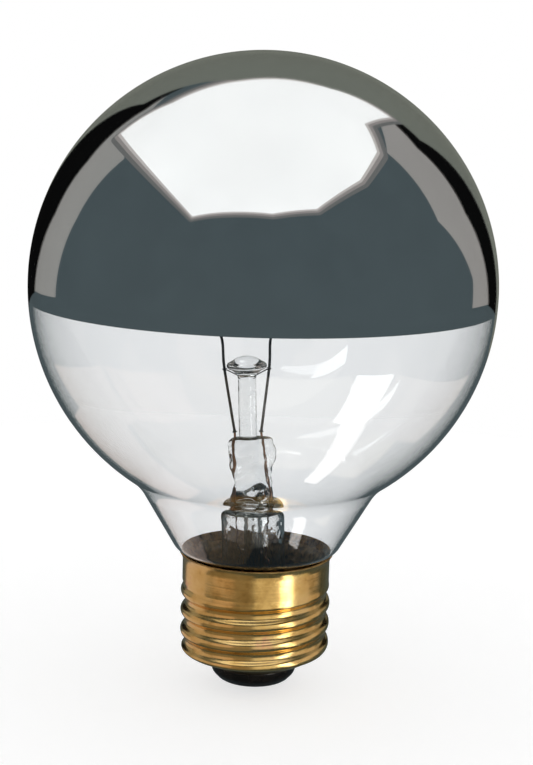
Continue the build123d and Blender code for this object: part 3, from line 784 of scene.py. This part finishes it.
# Boards close to the cap, which only the cap mirrors: angles from the front, colour, strength
CAP_BOARDS = [
    ("side_left", -104, -66, (0.55, 0.46, 0.40), 1.0),
    ("left", -64, -30, (0.62, 0.48, 0.40), 1.0),
    ("dark", -28, -4, (0.30, 0.25, 0.18), 1.0),
    ("right", -2, 34, (0.80, 0.76, 0.66), 1.0),
    ("bright", 36, 52, (1.0, 0.99, 0.96), 5.0),
    ("side_right", 54, 106, (0.62, 0.55, 0.50), 1.0),
]


def seen_in_mirrors(n, glow):
    """Mix that shows the glow to rays that some surface has mirrored, and nothing to the rest."""
    path = n.add("ShaderNodeLightPath")
    mirrored = n.add("ShaderNodeMath", set_operation="GREATER_THAN")
    n.put_in(mirrored.inputs[0], path.outputs["Glossy Depth"])
    n.put_in(mirrored.inputs[1], 0.5)
    mix = n.add("ShaderNodeMixShader")
    n.put_in(mix.inputs[0], mirrored.outputs[0])
    n.put_in(mix.inputs[1], n.add("ShaderNodeBsdfTransparent").outputs[0])
    n.put_in(mix.inputs[2], glow.outputs[0])
    return mix


def card(name, corners, colour, strength=1.0):
    """Card of the studio that only mirrored rays see; corners are in millimetres."""
    mesh = bpy.data.meshes.new(name)
    mesh.from_pydata((np.array(corners, float) * MM).tolist(), [], [list(range(len(corners)))])
    piece = bpy.data.objects.new(name, mesh)
    bpy.context.scene.collection.objects.link(piece)
    n = Nodes(name)
    cloth = n.ramp(n.noise(3.0, 2.0), [(0.3, tuple(0.93 * c for c in colour)), (0.7, colour)])
    glow = n.add("ShaderNodeEmission", Color=cloth, Strength=strength)
    piece.data.materials.append(n.finish(seen_in_mirrors(n, glow)))
    piece.visible_camera = False
    piece.visible_shadow = False


def from_globe(places):
    """World places of (across, up, near) millimetres measured from the globe's centre."""
    rise = math.radians(VIEW_RISE_AT_GLOBE)
    across = np.array([1.0, 0.0, 0.0])
    near = np.array([0.0, -math.cos(rise), math.sin(rise)])
    up = np.array([0.0, math.sin(rise), math.cos(rise)])
    return np.array([0.0, 0.0, GLOBE_Z]) + np.array(places, float) @ np.stack([across, up, near])


def round_globe(places, distance):
    """Directions (across, up, near) from the globe's centre, all set at one distance from it."""
    way = np.array(places, float)
    return from_globe(distance * way / np.linalg.norm(way, axis=1)[:, None])


def on_floor(places, z):
    """Places (angle from the front, towards +X, and distance) on the floor, at height z."""
    angle = np.radians([a for a, _ in places])
    reach = np.array([r for _, r in places], float)
    return np.stack([reach * np.sin(angle), -reach * np.cos(angle), np.full(len(places), z)], axis=1)


def white_world():
    """White to the eye, to mirrors and through glass, and softer as a light."""
    world = bpy.data.worlds.new("studio")
    world.use_nodes = True
    tree = world.node_tree
    tree.nodes.clear()
    output = tree.nodes.new("ShaderNodeOutputWorld")
    seen = tree.nodes.new("ShaderNodeBackground")
    light = tree.nodes.new("ShaderNodeBackground")
    for background, strength in ((seen, 1.0), (light, LIGHT)):
        background.inputs["Color"].default_value = (1, 1, 1, 1)
        background.inputs["Strength"].default_value = strength
    mix = tree.nodes.new("ShaderNodeMixShader")
    tree.links.new(looked_at(tree), mix.inputs[0])
    tree.links.new(light.outputs[0], mix.inputs[1])
    tree.links.new(seen.outputs[0], mix.inputs[2])
    tree.links.new(mix.outputs[0], output.inputs["Surface"])
    bpy.context.scene.world = world


def looked_at(tree):
    """1 for the camera's own rays, mirrored rays and rays through glass, and 0 for light."""
    path = tree.nodes.new("ShaderNodeLightPath")
    first = tree.nodes.new("ShaderNodeMath")
    second = tree.nodes.new("ShaderNodeMath")
    first.operation = second.operation = "MAXIMUM"
    tree.links.new(path.outputs["Is Camera Ray"], first.inputs[0])
    tree.links.new(path.outputs["Is Glossy Ray"], first.inputs[1])
    tree.links.new(first.outputs[0], second.inputs[0])
    tree.links.new(path.outputs["Is Transmission Ray"], second.inputs[1])
    return second.outputs[0]


def pale_floor():
    """Round white floor under the lamp, a little darker where the lamp shades it."""
    angle = np.linspace(0, 360, 96, endpoint=False)
    corners = on_floor([(a, FLOOR_R) for a in angle], -0.02)
    mesh = bpy.data.meshes.new("floor")
    mesh.from_pydata((corners * MM).tolist(), [], [list(range(96))])
    floor = bpy.data.objects.new("floor", mesh)
    bpy.context.scene.collection.objects.link(floor)
    n = Nodes("pale_floor")
    matt = n.add("ShaderNodeBsdfDiffuse", Color=(0.5, 0.5, 0.5, 1))
    glow = n.add("ShaderNodeEmission", Color=(1, 1, 1, 1))
    n.put_in(glow.inputs["Strength"], n.mix_values(looked_at(n.tree), 0.0, 1.03 - 0.5 * LIGHT))
    both = n.add("ShaderNodeAddShader")
    n.put_in(both.inputs[0], matt.outputs[0])
    n.put_in(both.inputs[1], glow.outputs[0])
    floor.data.materials.append(n.finish(both))


def dark_room():
    """Slate walls, floor and ceiling all round, which the crown and the cap mirror."""
    slate, reach = (0.080, 0.103, 0.110), 900.0
    for axis in range(3):
        for end in (-reach, reach):
            square = [(-reach, -reach), (reach, -reach), (reach, reach), (-reach, reach)]
            corners = [list(pair[:axis]) + [end] + list(pair[axis:]) for pair in square]
            card(f"room_{axis}_{'high' if end > 0 else 'low'}", corners, slate)


def build_stage():
    """White world, pale floor, and the dark room with its light box, boards and flags."""
    white_world()
    pale_floor()
    dark_room()
    box = np.array([
        (-0.98, 1, -0.65), (-1.04, 1, 1.38), (-0.73, 1, 1.40), (0.10, 1, 1.50), (0.64, 1, 1.25),
        (0.85, 1, 0.51), (0.79, 1, 0.04), (0.58, 1, -0.18), (0.70, 1, -0.62), (0.24, 1, -0.43),
        (-0.12, 1, -0.38), (-0.52, 1, -0.40)])
    for number, (grow, tone) in enumerate([(1.0, (1.25, 1.23, 1.2)), (1.035, (0.62, 0.57, 0.54)),
                                           (1.08, (0.33, 0.30, 0.285)), (1.14, (0.17, 0.17, 0.165))]):
        spread = BOX_MIDDLE + (box - BOX_MIDDLE) * (grow, 1, grow)
        card(f"light_box_{number}", from_globe((BOX_HEIGHT + 4 * number) * spread), tone)
    card("back_board", round_globe([
        (-0.1, -0.25, -1), (-0.35, 0.1, -1), (-0.6, 0.6, -1), (-0.9, 1.3, -1), (-0.4, 2.5, -1),
        (0.7, 2.3, -1), (1.3, 1.3, -1), (0.75, 0.26, -1), (0.45, -0.25, -1)], 330), (0.185, 0.195, 0.165))
    card("back_flag", round_globe([
        (-0.75, -0.12, -1), (-1.22, 0.4, -1), (-1.32, 0.9, -1), (-1.05, 1.5, -1), (0.2, 1.5, -1),
        (0.9, 1.8, -1), (1.66, 1.6, -1), (1.5, 0.6, -1), (0.9, -0.12, -1)], 560), (0.004, 0.004, 0.004))
    card("left_board", round_globe([
        (-0.88, -0.2, -0.46), (-0.92, 0.02, -0.395), (-0.91, 0.31, -0.275), (-0.745, 0.65, -0.144),
        (-0.4, 0.75, -0.5), (-0.7, 0.47, -0.8), (-0.61, -0.2, -0.9)], 600), (0.34, 0.33, 0.31))
    card("right_board", round_globe([
        (0.88, -0.2, -0.46), (0.89, 0.06, -0.45), (0.92, 0.38, -0.12), (0.654, 0.754, -0.064),
        (0.4, 0.8, -0.5), (0.7, 0.5, -0.75), (0.66, -0.2, -0.85)], 600), (0.36, 0.34, 0.32))
    card("floor_in_mirrors", on_floor([(a, 600.0) for a in range(0, 360, 10)], 0.2), (0.080, 0.103, 0.110))
    card("floor_right", on_floor([(0, 36), (0, 130), (40, 130), (85, 130), (85, 36), (40, 36)], 0.5),
         (0.62, 0.57, 0.48))
    card("floor_flag", on_floor([(-72, 24), (-72, 120), (-35, 125), (-2, 120), (-2, 24)], 0.6),
         (0.24, 0.21, 0.16))
    card("floor_side", on_floor([(-76, 20), (-130, 30), (-130, 110), (-76, 120)], 0.6), (0.6, 0.5, 0.45))
    card("floor_strip", on_floor([(41, 26), (41, 120), (55, 120), (55, 26)], 0.8), (1.0, 0.98, 0.95), 3.0)
    for name, start, end, tone, strength in CAP_BOARDS:
        across = [(start, CAP_BOARD_R), (end, CAP_BOARD_R)]
        low, high = on_floor(across, 1.0), on_floor(across[::-1], CAP_BOARD_TOP)
        card(f"cap_board_{name}", np.vstack([low, high]), tone, strength)


place_camera()
build_lamp()
build_stage()
bpy.context.scene.view_settings.view_transform = "Standard"
